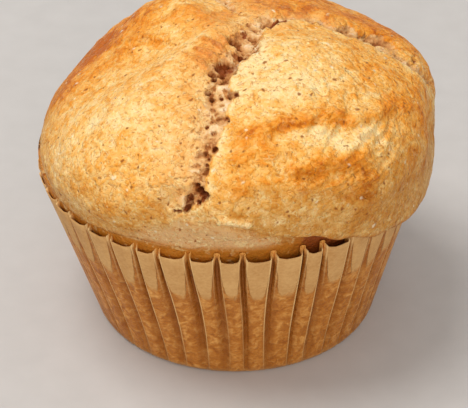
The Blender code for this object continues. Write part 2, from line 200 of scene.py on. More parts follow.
# Ridges and creases of the crust: height and half width in mm, browning, then the run.
RIDGES = (
    (0.64, 1.08, 0.25, ((4, -26, 50.3), (5.9, -24.8, 50.6), (8.3, -23.8, 50.7), (10.4, -23.1, 50.6),
     (12.9, -21.7, 50.6), (15.7, -20.7, 50.2), (19.1, -20.6, 48.9), (21.9, -18, 48.7),
     (24.9, -14.9, 48.2))),
    (0.48, 1.08, 0.25, ((-0.4, -25.8, 50.6), (1.5, -26.6, 50.2), (3, -27.2, 49.8), (4.4, -27.2, 49.5))),
    (0.36, 0.86, 0.09, ((-0.6, -30.6, 47.6), (2.9, -29.3, 48.4), (5.9, -28.7, 48.4), (8.3, -28.6, 47.9))),
    (0.64, 1.15, 0.24, ((9.2, -30.7, 46), (11.6, -29.7, 46), (14, -28.2, 46.3), (16.1, -27.5, 45.9),
     (18.5, -26.4, 45.4), (20.2, -25, 45.5))),
    (0.4, 0.86, 0.15, ((8.8, -33.2, 42.6), (11.9, -32, 43), (14.5, -30.8, 43), (17.8, -29.2, 42.7),
     (20.4, -27.7, 42.1), (22, -26.4, 42.1))),
    (0.32, 0.86, 0.07, ((0, -33.4, 44.9), (5, -33.4, 44.6), (10, -32.4, 44.1))),
    (-0.5, 0.5, 0.15, ((16.9, -30.5, 41), (19.6, -29.2, 39.7), (21.6, -27.9, 39.2))),
    (-0.55, 0.9, -0.16, ((7.5, -25.7, 49.9), (11.6, -25.3, 49.2), (15.4, -24.7, 48.2), (18, -23.7, 47.8))),
    (-0.25, 0.45, 0.22, ((5.6, -25.8, 50), (8.6, -24.9, 50.1), (12.3, -23.2, 49.9), (15.9, -22.2, 49.4),
     (19.3, -21.9, 48))),
    (-0.3, 0.5, 0.2, ((9.8, -31.6, 45), (13.2, -30, 44.9), (17, -28.5, 44.5))),
    (-0.7, 1.1, 0.14, ((-9, -33.3, 42.3), (-10.6, -33.1, 41.2), (-12.4, -32.6, 39.6))),
    (0.5, 0.9, -0.22, ((16.9, -26, 46.6), (18.7, -24.4, 46.9), (20.4, -21.9, 47.6))),
    (0.4, 0.65, 0.06, ((-18.2, 4.4, 49), (-15.5, 3.1, 50.5), (-12.5, 0.1, 52))),
    (-0.4, 0.7, 0.05, ((-18.6, 2.6, 49), (-15.4, 1.4, 50.4), (-12, -1.4, 51.8))),
    (0.7, 0.45, 0.14, ((-5.2, -5.2, 54.9), (-3, -6.6, 55.2), (-1.6, -8.8, 55.2))),
    (0.7, 0.45, 0.14, ((-6.6, -7.4, 54.4), (-4.6, -8.6, 54.8), (-2.9, -10.6, 54.9))),
    (0.65, 0.4, 0.14, ((-7.2, -9.8, 54), (-5.6, -11, 54.3), (-4.4, -12.8, 54.3))),
    (0.35, 0.35, 0.05, ((-6.8, -13.2, 53.8), (-5.4, -14.6, 53.7), (-4.9, -16.6, 53.3))),
    (0.6, 0.4, 0.12, ((-3.8, -2.6, 55.2), (-2.4, -4, 55.5), (-1.4, -6, 55.5))),
    (1.1, 0.6, -0.45, ((-2.6, -35.1, 38.5), (-0.5, -35.3, 38.6), (1.8, -35.2, 38.1))),
    (-1, 0.4, 0.15, ((-2.4, -35.2, 37.9), (0, -35.2, 37.4), (2.3, -35, 36.6), (5.5, -34, 35.2),
     (8.9, -31.6, 33.6))))
RIDGE_WANDER = 0.45
RIDGE_WANDER_SIZE = 3.0 * MM
RIDGE_BROWNED = 1.15

# Where the oven browned the crust more or less: (x, y, z, radius in mm, change in browning).
BROWNED = (
    (-12, -17, 52, 6, 0.05), (-7, -11, 55, 4, 0.06), (-18, -29, 40, 8, 0.07), (-13, -4, 55, 5, -0.13),
    (-17, -19, 49, 5, -0.07), (-23, -19, 47, 5, -0.07), (-9, -27, 48, 6, -0.07), (-28, -20, 41, 6, -0.09),
    (-24, -13, 49, 4, -0.03), (3, -17, 53, 6, -0.15), (11, -13, 54, 8, -0.12), (30, -13, 44, 7, 0.12),
    (32, -6, 43, 6, 0.09), (2, -32, 43.5, 7, 0.08), (3, 8, 55, 7, 0.12), (10, 8, 54, 8, 0.21),
    (18, 9, 52, 8, 0.2), (26, 11, 48, 8, 0.2), (31, 11, 44, 7, 0.18), (35, 7, 39, 6, 0.12),
    (20, 20, 48, 16, 0.21), (-10, 25, 48, 16, 0.18), (-28, 12, 46, 14, 0.21), (6, 4, 55.6, 3.5, -0.15),
    (16, 3, 54, 3, -0.12), (28, 2.5, 47.5, 3, -0.15), (30, 22, 38, 12, 0.09), (0, 33, 40, 16, 0.09),
    (-30, 18, 38, 12, 0.09), (16.7, -27.7, 45.4, 2, 0.12), (16.5, -25.6, 46.9, 1.6, -0.22),
    (19.6, -23, 47.2, 1.6, -0.18), (10, -25.4, 49.4, 2.5, -0.08), (14.5, -24.9, 48.5, 2.5, -0.02),
    (21.5, -26.9, 42.1, 2.2, 0.15), (20.4, -28.8, 38.1, 3, 0.2), (12.8, -29.5, 45.7, 2.2, 0.15),
    (1.4, -32.4, 45.9, 4, 0.12), (15, -6, 54, 4, 0.1), (7, -9, 55, 6, -0.1), (-31.5, 1.5, 39.5, 5, 0.25),
    (-29.7, 6, 41, 5, 0.27), (-27.4, 10, 42.2, 5, 0.27), (-24.4, 12.5, 44, 5, 0.25),
    (-20.5, 12.4, 47, 5.5, 0.23), (-16, 10.5, 50, 6, 0.2), (-27, -3, 43.9, 4, 0.1),
    (-24.5, 1, 45.7, 4, 0.1), (-20, 6, 49, 5, 0.1), (-6.5, 2.5, 54.8, 3.5, 0.22), (-4, 2.8, 55.5, 3, 0.15),
    (18.3, -26.6, 45.3, 2.2, 0.2), (19.6, -25.6, 45.6, 1.6, 0.06), (24.1, -12.4, 49.5, 3, 0.16),
    (21.3, -9.2, 51.5, 2.8, 0.2), (18, -15.2, 51.4, 2.5, 0.12), (25.7, -17.1, 46.7, 3, 0.13),
    (28, -12, 46, 4, 0.12), (9.7, -23, 50.8, 1.8, 0.08), (0.7, -27.7, 49.6, 2, 0.1), (24, -4, 51, 3, 0.12),
    (29, -6, 47.5, 3, 0.12), (21, 7, 51.6, 4, 0.08), (29, 5, 48.2, 3, 0.08), (-3, -5, 55.3, 2.6, 0.22),
    (-3.8, -8.5, 55, 2.6, 0.24), (-5.5, -11.5, 54.3, 2.4, 0.2), (0.5, -10, 55.1, 1.5, 0.22),
    (5, 3.5, 55.4, 3, 0.08), (9, 5.5, 54.6, 3, 0.1), (30, -15, 37, 7, 0.16), (25, -24, 35.5, 6, 0.14),
    (16, -31, 36, 6, 0.1), (33, -7, 40, 6, 0.1))
BROWN_GENERAL = 0.34
BROWN_UNEVEN = 0.05
BROWN_WANDER = 0.35
BROWN_WANDER_SIZE = 6.0 * MM
EDGE_PALER = 0.22

# The level below which the crust is darker and duller, as less-baked crust with painted shade, and
# how gradually it turns so.
LOW_LEVEL = {-180: 38, -50: 38, -28: 37.5, -12: 39.5, 4: 41, 45: 41, 75: 39}
LOW_REACH = 6.5 * MM

# How finely the muffin is divided, and the shares of the outline at which its stretches begin.
AROUND = 440
ROWS = 226
FRONT_DENSITY = 0.52
SHARE_FLAT = 0.02
SHARE_CORNER = 0.03
SHARE_WALL = 0.04
SHARE_RIM = 0.08
SHARE_NECK = 0.12
SHARE_LIP = 0.17
SHARE_LIP_ROUND = 0.20
SHARE_WIDEST = 0.26
CROWN_BLEND = 0.6

# The fine relief of the crust: (size, height, seed), then the wrinkled skin of the right lobe.
CRUST_GRAIN = ((5.5 * MM, 0.26 * MM, 5), (2.6 * MM, 0.20 * MM, 11), (1.2 * MM, 0.11 * MM, 23))
WRINKLE_MIDDLE = (17.0, -24.0, 46.0)
WRINKLE_REACH = 17.0 * MM
WRINKLE_SIZE = 1.9 * MM
WRINKLE_STRETCH = 3.2
WRINKLE_HEIGHT = 0.70 * MM
WRINKLE_RISE = 0.35
WRINKLE_CLOSER = 1.5
WRINKLE_WARP = (0.6 * MM, 1.0 * MM, 0.0)
WRINKLE_WARP_SIZE = 5.0 * MM
CRUST_EDGE_FADE = 0.25
ROUGH_BESIDE = 0.7

# The pale crust above the paper, the strip that fat stained, which also carries painted shade, and
# the painted shade under the lip: their tops in mm or how strong that shade is, how softly they end,
# and the azimuths, in radians, between which the pale crust stops reaching past the lip.
NECK_TOP = {
    -180: 30, -48: 30, -32: 33.5, -20: 37, -12: 40, -3: 40, 4: 38.2, 10: 36.2, 16: 34, 26: 31, 90: 30}
NECK_OPEN = (0.25, 0.45)
STAIN_AND_SHADE_TOP = {-180: 32.4, 10: 32.6, 22: 34.8, 60: 34.8, 90: 32.4}
GAP_SHADE = {-180: 0, 16: 0, 24: 0.75, 50: 0.75, 60: 0}
NECK_EDGE = 3.6 * MM
STAIN_AND_SHADE_EDGE = 1.8 * MM
GAP_SHADE_TOP = (33.0 * MM, 34.5 * MM)

# The paper as it looks: its thickness, the shares of its height that have a row of points, the
# fold from the base to the rim (share, half widths of mouth, throat and loop, depth in mm), and
# one side of it from its mouth inwards, as shares of those widths and that depth.
PAPER_SHOWN = 0.14 * MM
PAPER_ROWS = (0.0, 0.012, *np.linspace(0.03, 1.0, 32))
FOLD_STAGES = (
    (0, 0.45, 0.28, 0.14, 0), (0.12, 0.58, 0.32, 0.16, 0.45), (0.35, 0.7, 0.36, 0.18, 0.9),
    (0.65, 0.7, 0.32, 0.22, 1.3), (0.88, 0.62, 0.24, 0.34, 1.52), (1, 0.6, 0.2, 0.44, 1.6))
FOLD_OUTLINE = (
    (1, 0, 0, 0), (0.62, 0.38, 0, 0.25), (0.28, 0.72, 0, 0.48), (0, 1, 0, 0.66), (0, 0.25, 0.8, 0.8),
    (0, 0, 0.85, 0.93), (0, 0, 0, 1))
FOLD_VARIATION = 0.30
FOLD_WANDER = 0.35 * MM
FOLD_WANDER_TURN = 5.0
FOLD_ALTERNATION = 0.16

# The panel between two folds: where it has points across, and how it dips at the rim.
PANEL_PARTS = (0.06, 0.17, 0.33, 0.5, 0.67, 0.83, 0.94)
PANEL_DIP = 0.50 * MM
PANEL_DIP_POWER = 0.35

# A fold has one rolled side and a crisp one, and a painted highlight line along its mouth, on the
# crisp side and near the rim on both, that strengthens upwards.
ROLL_DEPTH = 0.55 * MM
ROLL_TURNING = 3.0
ROLL_GROWTH = 3
ROLL_REACH = (0.25, 1.0)
HIGHLIGHT_FADE = (-0.25, 0.60)
HIGHLIGHT_CRISP = (0.55, 0.85)
HIGHLIGHT_AT_RIM = 0.7
HIGHLIGHT_LEAST = 0.02

# The fat soaked the paper up to this share of its height, and further beside the folds, most
# of all on one side.
GREASE_LINE = 0.685
GREASE_CLIMB = 0.22
GREASE_CLIMB_POWER = 4.5
GREASE_SIDE = 0.35

# Camera: the photograph's view, looking down at the front from a short distance.
FRAME_WIDTH_PX = 468
CAMERA_FOCAL_PX = 1938
CAMERA_DISTANCE = 350.0 * MM
CAMERA_ELEVATION = math.radians(34.0)
CAMERA_TARGET = (-0.3 * MM, 0.0, 18.5 * MM)
SENSOR_WIDTH_MM = 36.0

# The studio: a pale floor, a large soft light above the left, and a weaker one in front.
FLOOR_SIZE = 4.0
FLOOR_COLOR = (196, 191, 186)
WORLD_COLOR = (1.0, 0.99, 0.98)
WORLD_STRENGTH = 0.55
LIGHTS = (("key", (-0.32, 0.02, 0.94), 0.50, 5.3), ("fill", (0.05, -0.90, 0.42), 0.60, 3.0))

# Colours as they look on a screen, 0 to 255.
CRUST_RAMP = (
    (0.02, (255, 220, 156)), (0.3, (250, 194, 110)), (0.5, (243, 170, 72)), (0.72, (234, 142, 30)),
    (1, (194, 98, 8)))
# The lower crust: less-baked colour, darkened further with painted shade.
LOW_RAMP = ((0, (244, 206, 146)), (0.16, (224, 172, 98)), (0.5, (204, 140, 58)), (0.85, (182, 108, 24)))
NECK_COLOR = (218, 172, 116)
# Fat stain with painted shade, on the crust in the gap above the paper and under the lip.
STAIN_AND_SHADE_COLOR = (190, 116, 32)
STRETCHED_COLOR = (234, 180, 118)
CRUMB_RAMP = (
    (0.08, (160, 92, 40)), (0.36, (210, 148, 86)), (0.58, (234, 184, 122)), (0.88, (250, 220, 176)))
CURL_COLOR = (206, 124, 34)
# Pale crust in the pale patches, and painted highlights on the raised curls.
PALE_AND_HIGHLIGHT_COLOR = (255, 232, 166)
SPECK_COLOR = (255, 242, 206)
PORE_COLOR = (158, 88, 26)
HOLLOW_COLOR = (184, 108, 44)
# Painted shade in the cavities, along their ragged rims and in the gap under the lip.
PAINTED_SHADE_COLOR = (146, 70, 24)
DRY_RAMP = ((0.35, (196, 144, 84)), (0.65, (216, 168, 106)))
GREASY_RAMP = ((0.3, (158, 88, 24)), (0.5, (190, 118, 44)), (0.7, (230, 166, 88)))
# Painted shade in and towards the folds of the soaked paper.
GROOVE_SHADE_COLOR = (140, 76, 18)
# Painted light inside the fold loops of the dry paper, a golden glow.
LOOP_PAINTED_LIGHT_COLOR = (240, 166, 72)
PAPER_EDGE_COLOR = (216, 164, 100)
# Painted highlight along the mouths of the folds.
FOLD_HIGHLIGHT_COLOR = (244, 204, 140)


def around(azimuth, stations):
    """A value in metres that eases from one station to the next, all the way round."""
    turns = [math.radians(turn) for turn in stations]
    values = [value * MM for value in stations.values()]
    turns.append(turns[0] + 2 * math.pi)
    values.append(values[0])
    turned = turns[0] + (azimuth - turns[0]) % (2 * math.pi)
    place = np.interp(turned, turns, range(len(turns)))
    step = np.clip(np.floor(place), 0, len(turns) - 2).astype(int)
    part = place - step
    eased = part * part * (3 - 2 * part)
    values = np.array(values)
    return values[step] * (1 - eased) + values[step + 1] * eased


def lean(height):
    """How far the case and what is in it lean to the left at a height."""
    return CASE_LEAN * np.clip(height / CASE_HEIGHT, 0.0, 1.0)


def bump(distance, reach):
    """1 in the middle and 0 from the reach outwards, with a soft shoulder."""
    inside = np.clip(1 - (distance / reach) ** 2, 0.0, 1.0)
    return inside * inside


def progress(value, start, end):
    """How far a value has come from start to end, from 0 to 1."""
    return np.clip((value - start) / (end - start), 0.0, 1.0)


def smooth(low, high, value):
    """0 at low, 1 at high, eased between."""
    part = progress(value, low, high)
    return part * part * (3 - 2 * part)


def hashed(cells, seed):
    """A repeatable number from -1 to 1 for each whole-numbered cell."""
    mixed = (cells @ np.array([73856093, 19349663, 83492791]) + seed * 374761393) & 0xFFFFFFFF
    for factor in (1274126177, 1103515245):
        mixed = ((mixed ^ (mixed >> 15)) * factor) & 0xFFFFFFFF
    mixed = mixed ^ (mixed >> 13)
    return (mixed & 0xFFFFFF) / 0x7FFFFF - 1


def grain(points, size, seed):
    """Smooth noise, about -1 to 1, whose features are about a size across."""
    scaled = points / size
    base = np.floor(scaled).astype(np.int64)
    part = scaled - base
    eased = part ** 3 * (part * (part * 6 - 15) + 10)
    total = np.zeros(len(points))
    for corner in itertools.product((0, 1), repeat=3):
        offset = part - corner
        slope = sum(hashed(base + corner, seed + 31 * axis) * offset[:, axis] for axis in range(3))
        total += slope * np.prod(np.where(corner, eased, 1 - eased), axis=1)
    return total * 1.5


def layered(points, size, octaves, seed):
    """Noise summed over a few finer and weaker octaves."""
    return sum(0.55 ** octave * grain(points, size / 2 ** octave, seed + octave)
               for octave in range(octaves))


def distance_to(points, middle):
    """The distance to a middle that is given in millimetres."""
    return np.linalg.norm(points - np.array(middle) * MM, axis=1)


def run_distance(directions, rows):
    """Signed distance to a run of points on the crust, positive to its right, and its values there."""
    rows = np.array(rows, dtype=float) * MM
    points = rows[:, :3] - CENTRE
    reach = np.linalg.norm(points, axis=1)
    points = points / reach[:, None]
    values = np.column_stack([reach, rows[:, 3:]])
    nearest = np.full(len(directions), np.inf)
    side = np.ones(len(directions))
    found = np.zeros((len(directions), values.shape[1]))
    for start, end, first, second in zip(points, points[1:], values, values[1:]):
        run = end - start
        along = np.clip((directions - start) @ run / (run @ run), 0.0, 1.0)
        offset = directions - start - along[:, None] * run
        distance = np.linalg.norm(offset, axis=1)
        closer = distance < nearest
        nearest = np.where(closer, distance, nearest)
        turning = np.einsum("ij,ij->i", np.cross(run, offset), directions)
        side = np.where(closer, np.where(turning > 0, 1.0, -1.0), side)
        found = np.where(closer[:, None], first + along[:, None] * (second - first), found)
    return nearest * side * found[:, 0], found[:, 1:]


def rim_radius(azimuth):
    """The muffin's radius at the rim of the case, where it may swell up to the paper."""
    return np.maximum(MUFFIN_RIM_RADIUS, around(azimuth, HUGGING_RADIUS) - HUGGING_SLOPE)


def wall_outline(azimuth, share):
    """The part in the case: flat below, a rounded corner, then the sloping wall."""
    (first_out, first_up), (second_out, second_up) = MUFFIN_CORNER
    stops = [0.0, SHARE_FLAT, SHARE_CORNER, SHARE_WALL, SHARE_RIM]
    radii = [0.0, MUFFIN_BASE_RADIUS, MUFFIN_BASE_RADIUS + first_out, MUFFIN_BASE_RADIUS + second_out,
             MUFFIN_RIM_RADIUS]
    heights = [MUFFIN_FLOOR, MUFFIN_FLOOR, MUFFIN_FLOOR + first_up, MUFFIN_FLOOR + second_up,
               MUFFIN_RIM_HEIGHT]
    swell = (rim_radius(azimuth) - MUFFIN_RIM_RADIUS) * progress(share, SHARE_WALL, SHARE_RIM) ** 4
    return np.interp(share, stops, radii) + swell, np.interp(share, stops, heights)


def ledge_outline(azimuth, share):
    """The neck above the rim, the ledge that clears the rim, and the drop to the lip."""
    neck = np.maximum(around(azimuth, NECK_RADIUS), around(azimuth, HUGGING_RADIUS))
    lip = np.maximum(around(azimuth, LIP_RADIUS), neck)
    lip_height = around(azimuth, LIP_HEIGHT)
    ledge_height = np.maximum(lip_height, LEDGE_LOWEST)
    rise = progress(share, SHARE_RIM, SHARE_NECK)
    third = (SHARE_LIP - SHARE_NECK) / 3
    out = progress(share, SHARE_NECK, SHARE_NECK + third)
    drop = progress(share, SHARE_NECK + third, SHARE_LIP)
    radius = rim_radius(azimuth) + rise * (neck - rim_radius(azimuth))
    radius = radius + out * (np.minimum(LEDGE_RADIUS, lip) - neck)
    radius = radius + (lip - radius) * drop ** 2
    height = MUFFIN_RIM_HEIGHT + rise * (ledge_height - MUFFIN_RIM_HEIGHT)
    height = height + drop * (lip_height - ledge_height)
    return radius, height


def crust_outline(azimuth, share):
    """From the lip up to the widest level, then the dome that closes over to the crown.

    A curled lip starts out level and turns upwards; elsewhere the crust rises straight from it.
    """
    lip = around(azimuth, LIP_RADIUS)
    lip_height = around(azimuth, LIP_HEIGHT)
    widest = around(azimuth, WIDEST_RADIUS)
    widest_height = around(azimuth, WIDEST_HEIGHT)
    part = progress(share, SHARE_LIP, SHARE_WIDEST)
    curl = (1 - part) * math.pi / 2
    curled = around(azimuth, LIP_CURL) / MM
    out = curled * np.cos(curl) + (1 - curled) * part * part * (3 - 2 * part)
    up = curled * (1 - np.sin(curl)) + (1 - curled) * part
    radius = lip + (widest - lip) * out
    height = lip_height + (widest_height - lip_height) * up

    turn = progress(share, SHARE_WIDEST, 1.0) * math.pi / 2
    closing = np.maximum(np.cos(turn), 0.0)
    fullness = 1 + (around(azimuth, FULLNESS) / MM - 1) * closing ** CROWN_BLEND
    on_dome = share > SHARE_WIDEST
    radius = np.where(on_dome, widest * closing ** fullness, radius)
    height = np.where(on_dome, widest_height + (CROWN_HEIGHT - widest_height) * np.sin(turn), height)
    return radius, height


def plain_muffin(azimuth, share):
    """Points of the muffin without its relief: share 0 is under its middle, 1 is its crown."""
    radius, height = wall_outline(azimuth, share)
    for start, (further_radius, further_height) in ((SHARE_RIM, ledge_outline(azimuth, share)),
                                                    (SHARE_LIP, crust_outline(azimuth, share))):
        beyond = share > start
        radius = np.where(beyond, further_radius, radius)
        height = np.where(beyond, further_height, height)
    return np.stack([radius * np.sin(azimuth) + lean(height), -radius * np.cos(azimuth), height], axis=1)


def form_relief(points, directions):
    """The broad relief that the CAD has too: lobes, lumps and the swales beside the tears."""
    lumps = np.array([noise.noise(Vector(point / LUMP_SIZE)) for point in points])
    relief = lumps * LUMP_HEIGHT
    for middle, reach, height in LOBES:
        relief += height * MM * bump(distance_to(points, middle), reach * MM)
    swale = np.zeros(len(points))
    for tear in (FRONT_TEAR, RIGHT_TEAR, BACK_TEAR):
        distance, _ = run_distance(directions, tear)
        swale = np.maximum(swale, SWALE_DEPTH * bump(distance, SWALE_REACH))
    return relief - swale


def tear_relief(points, directions):
    """The tears: relief, how far they show crumb, and how near the stretched and the clean edge are."""
    jag = layered(points, EDGE_JAG_SIZE, 3, 41)
    fray = layered(points, FRAY_SIZE, 3, 57)
    relief, torn, stretched, rim = np.zeros((4, len(points)))
    for edge, crust_side, reach in zip((FRONT_EDGE, RIGHT_EDGE, BACK_EDGE), (1, -1, 1), STRETCHED_REACH):
        distance, values = run_distance(directions, edge)
        depth = values[:, 0]
        width = values[:, 1]
        deep = smooth(*TEAR_BEGINS, depth)
        clean = distance * crust_side + jag * EDGE_JAG * smooth(0.0, TEAR_BEGINS[1], depth)
        beyond = fray * FRAY_JAG - distance * crust_side
        wall = 1 - smooth(-EDGE_WALL, 0.0, clean)
        ramp = 1 - smooth(0.0, width * FLOOR_ENDS, beyond)
        raised = np.exp(-(np.maximum(clean, 0.0) / EDGE_ROUND) ** 2)
        raised = raised * smooth(*EDGE_RAISED_FROM, clean) * deep
        relief = np.minimum(relief, -wall * depth * ramp) + EDGE_RAISED * raised
        shown = wall * deep * (1 - smooth(width * CRUMB_ENDS[0], width * CRUMB_ENDS[1], beyond))
        shown = shown * (SHALLOW_SHOWN + (1 - SHALLOW_SHOWN) * smooth(*SHALLOW_TO_DEEP, depth))
        torn = np.maximum(torn, shown)
        stretched = np.maximum(stretched, np.exp(-(np.minimum(clean, 0.0) / reach) ** 2) * wall * deep)
        rim = np.maximum(rim, raised)
    return relief, torn, stretched, rim


def crumb_relief(points):
    """The torn crumb, uneven with small holes: its relief and how pale it is."""
    uneven = layered(points, CRUMB_SIZE, 3, 113)
    holes = smooth(*HOLE_FROM, layered(points, HOLE_SIZE, 2, 127))
    plain, by_rise, by_hole = PALENESS
    return uneven * CRUMB_ROUGHNESS - holes * HOLE_DEPTH, plain + by_rise * uneven - by_hole * holes


def fading(darkness, brink, distance):
    """1 inside and 0 past a brink, which lies further out in a darker cavity."""
    start, further, softness = brink
    start = start + further * darkness
    return 1 - smooth(start, start + softness, distance)


def cavity_relief(points):
    """The cavities: their depth with ragged rims, what lies inside them, and their painted shade."""
    drop, within, painted_shade = np.zeros((3, len(points)))
    ragged = layered(points, CAVITY_RAGGED_SIZE, 2, 71) * CAVITY_RAGGED
    for *middle, radius, depth, darkness in CAVITIES:
        shade = np.array(middle) + radius * np.array(CAVITY_SHADE)
        distance = distance_to(points, middle) / (radius * MM) + ragged
        shade_distance = distance_to(points, shade) / (radius * MM) + ragged
        inside = 1 - smooth(*CAVITY_SIDE, distance)
        drop = np.maximum(drop, depth * MM * inside)
        within = np.maximum(within, inside)
        shaded = fading(darkness, CAVITY_BRINK, distance) * fading(darkness, SHADE_BRINK, shade_distance)
        painted_shade = np.maximum(painted_shade, darkness * shaded)
    return drop, within, painted_shade


def wrinkle_relief(points, azimuth):
    """The wrinkled skin of the right lobe: long ridges that climb slightly to the right."""
    along = azimuth * MUFFIN_RIM_RADIUS
    up = points[:, 2] * WRINKLE_CLOSER - along * WRINKLE_RISE
    plane = np.stack([along / WRINKLE_STRETCH, up, np.zeros(len(points))], axis=1)
    warp = grain(points, WRINKLE_WARP_SIZE, 83)[:, None] * np.array(WRINKLE_WARP)
    ridges = 1 - 2 * np.abs(grain(plane + warp, WRINKLE_SIZE, 89))
    return ridges * WRINKLE_HEIGHT * bump(distance_to(points, WRINKLE_MIDDLE), WRINKLE_REACH)


def ridge_relief(points, directions):
    """The larger ridges and creases, and how they change the browning."""
    relief, browning = np.zeros((2, len(points)))
    wander = layered(points, RIDGE_WANDER_SIZE, 2, 97)
    for height, half_width, browned, run in RIDGES:
        distance, _ = run_distance(directions, run)
        away = np.abs(distance) * (1 + RIDGE_WANDER * wander)
        relief += height * MM * np.exp(-(away / (half_width * MM)) ** 2)
        browning += browned * np.exp(-(away / (half_width * RIDGE_BROWNED * MM)) ** 2)
    return relief, browning


def browning_of(points):
    """How brown the crust is, from 0, pale, to 1."""
    brown = np.full(len(points), BROWN_GENERAL)
    wander = layered(points, BROWN_WANDER_SIZE, 3, 103)
    for *middle, reach, change in BROWNED:
        distance = distance_to(points, middle) * (1 + BROWN_WANDER * wander)
        brown += change * np.exp(-(distance / (reach * MM)) ** 2)
    return brown + BROWN_UNEVEN * wander


def add_attribute(mesh, name, values):
    layer = mesh.attributes.new(name=name, type="FLOAT", domain="POINT")
    layer.data.foreach_set("value", np.asarray(values, dtype=np.float32))


def put(name, data):
    made = bpy.data.objects.new(name, data)
    bpy.context.scene.collection.objects.link(made)
    return made


def make_muffin():
    """The dressed muffin: the CAD's form with torn crumb, ridges, wrinkles and a rough skin."""
    bpy.ops.mesh.primitive_uv_sphere_add(segments=AROUND, ring_count=ROWS, radius=1.0)
    muffin = bpy.context.object
    muffin.name = "muffin_crust"
    mesh = muffin.data
    mesh.name = muffin.name
    places = np.empty(len(mesh.vertices) * 3, dtype=np.float32)
    mesh.vertices.foreach_get("co", places)
    places = places.reshape(-1, 3).astype(float)
    azimuth = np.arctan2(places[:, 0], -places[:, 1])
    azimuth = azimuth - FRONT_DENSITY * np.sin(azimuth)
    share = np.arccos(np.clip(-places[:, 2], -1.0, 1.0)) / math.pi
    plain = plain_muffin(azimuth, share)
    directions = plain - CENTRE
    directions = directions / np.linalg.norm(directions, axis=1)[:, None]
    full = progress(share, SHARE_LIP, SHARE_WIDEST)

    tears, torn, stretched, rim = tear_relief(plain, directions)
    cavities, within, painted_shade = cavity_relief(plain)
    ridges, ridge_browning = ridge_relief(plain, directions)
    crumb, paleness = crumb_relief(plain)
    torn = np.maximum(torn, within)
    paleness -= CAVITY_DARKER * within
    whole = 1 - torn
    skin = sum(grain(plain, size, seed) * height for size, height, seed in CRUST_GRAIN)
    relief = form_relief(plain, directions) + tears - cavities + crumb * torn
    relief += whole * (ridges + wrinkle_relief(plain, azimuth))
    faded = (CRUST_EDGE_FADE + (1 - CRUST_EDGE_FADE) * full) * (1 + ROUGH_BESIDE * stretched)
    neck = progress(share, SHARE_NECK, SHARE_LIP)
    outward = relief * full + skin * whole * faded * neck
    points = plain + directions * outward[:, None]
    mesh.vertices.foreach_set("co", points.astype(np.float32).ravel())
    mesh.update()
    mesh.shade_smooth()

    height = plain[:, 2]
    level = around(azimuth, LOW_LEVEL)
    under = 1 - progress(share, SHARE_LIP, SHARE_LIP_ROUND)
    top = around(azimuth, NECK_TOP)
    above_paper = np.maximum(under, 1 - smooth(*NECK_OPEN, azimuth))
    # The top of the strip of fat stain and painted shade.
    soaked = around(azimuth, STAIN_AND_SHADE_TOP)
    gap = under * around(azimuth, GAP_SHADE) / MM * (1 - smooth(*GAP_SHADE_TOP, height))
    looks = {
        "brown": browning_of(plain) + ridge_browning - EDGE_PALER * rim,
        "crumb": paleness,
        "neck": above_paper * (1 - smooth(top - NECK_EDGE, top, height)),
        "stain_and_shade": under * (1 - smooth(soaked - STAIN_AND_SHADE_EDGE, soaked, height)),
        "torn": torn * full,
        "stretched": stretched * full,
        # Painted shade in the cavities and in the gap under the lip.
        "painted_shade": np.maximum(painted_shade * full, gap),
        "low": 1 - smooth(level - LOW_REACH, level + LOW_REACH, height),
    }
    for name, values in looks.items():
        add_attribute(mesh, name, values)
    return muffin


def fold_shape(share):
    """One side of a fold at a share of the height: (away from its middle, inwards), outside first."""
    stages = np.array(FOLD_STAGES)
    mouth, throat, loop, depth = (np.interp(share, stages[:, 0], stages[:, column]) * MM
                                  for column in range(1, 5))
    return [(mouth * at_mouth + throat * at_throat + loop * at_loop, depth * inwards)
            for at_mouth, at_throat, at_loop, inwards in FOLD_OUTLINE]


def case_point(reach, azimuth, level):
    return reach * math.sin(azimuth) + lean(level), -reach * math.cos(azimuth), level


